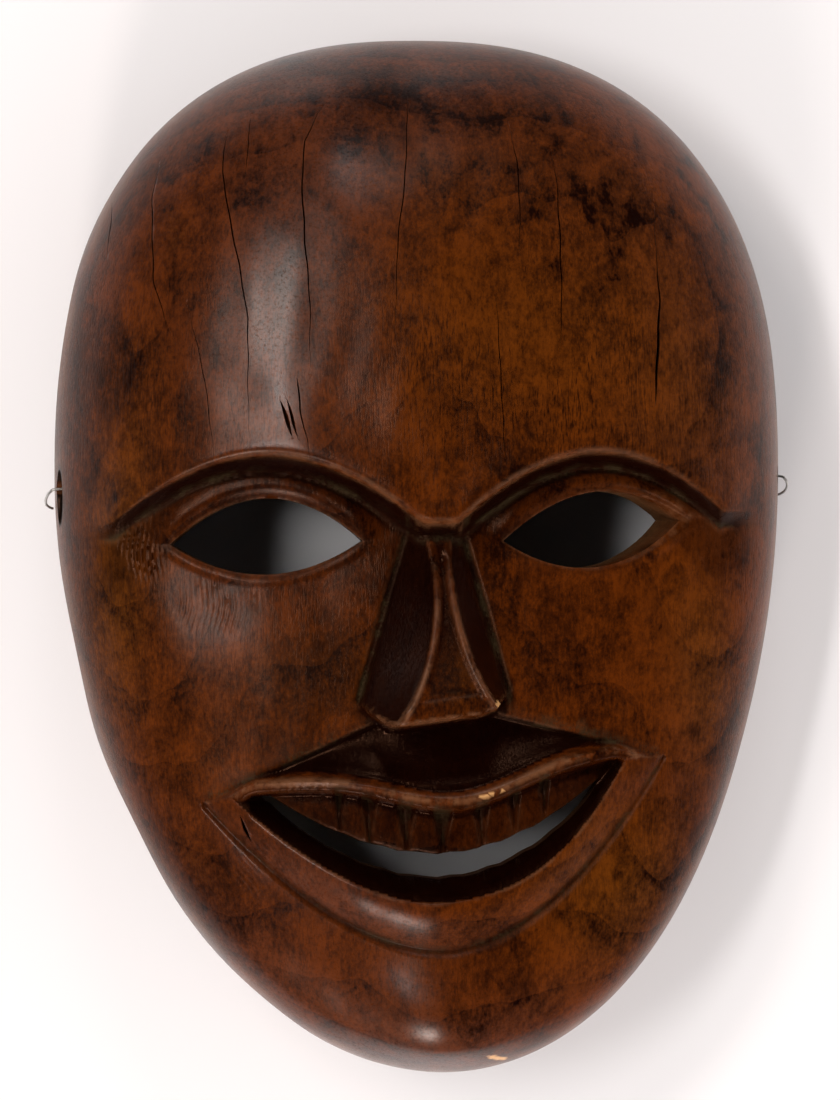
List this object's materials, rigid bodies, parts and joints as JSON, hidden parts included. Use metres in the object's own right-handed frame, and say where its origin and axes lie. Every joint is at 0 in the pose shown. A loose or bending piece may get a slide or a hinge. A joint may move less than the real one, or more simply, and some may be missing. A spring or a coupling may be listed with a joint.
{
  "type": "carved wooden mask",
  "caption": "Carved wooden face mask, hollow behind, with pierced eyes and mouth and a thin steel hanging wire across its back.",
  "frame": {"origin": "middle of the mask's outline on the plane of its flat back rim, the lowest plane of the part as it lies face up", "axes": "+Z out of the face, +Y up the face from chin to forehead, +X to the right of someone who looks at the face"},
  "size_m": [0.1956, 0.2699, 0.0985],
  "materials": {
    "carved_wood": "satin",
    "steel_wire": "satin"
  },
  "bodies": {
    "root": {"mask_body": "carved_wood", "hanging_wire": "steel_wire"}
  },
  "joints": []
}
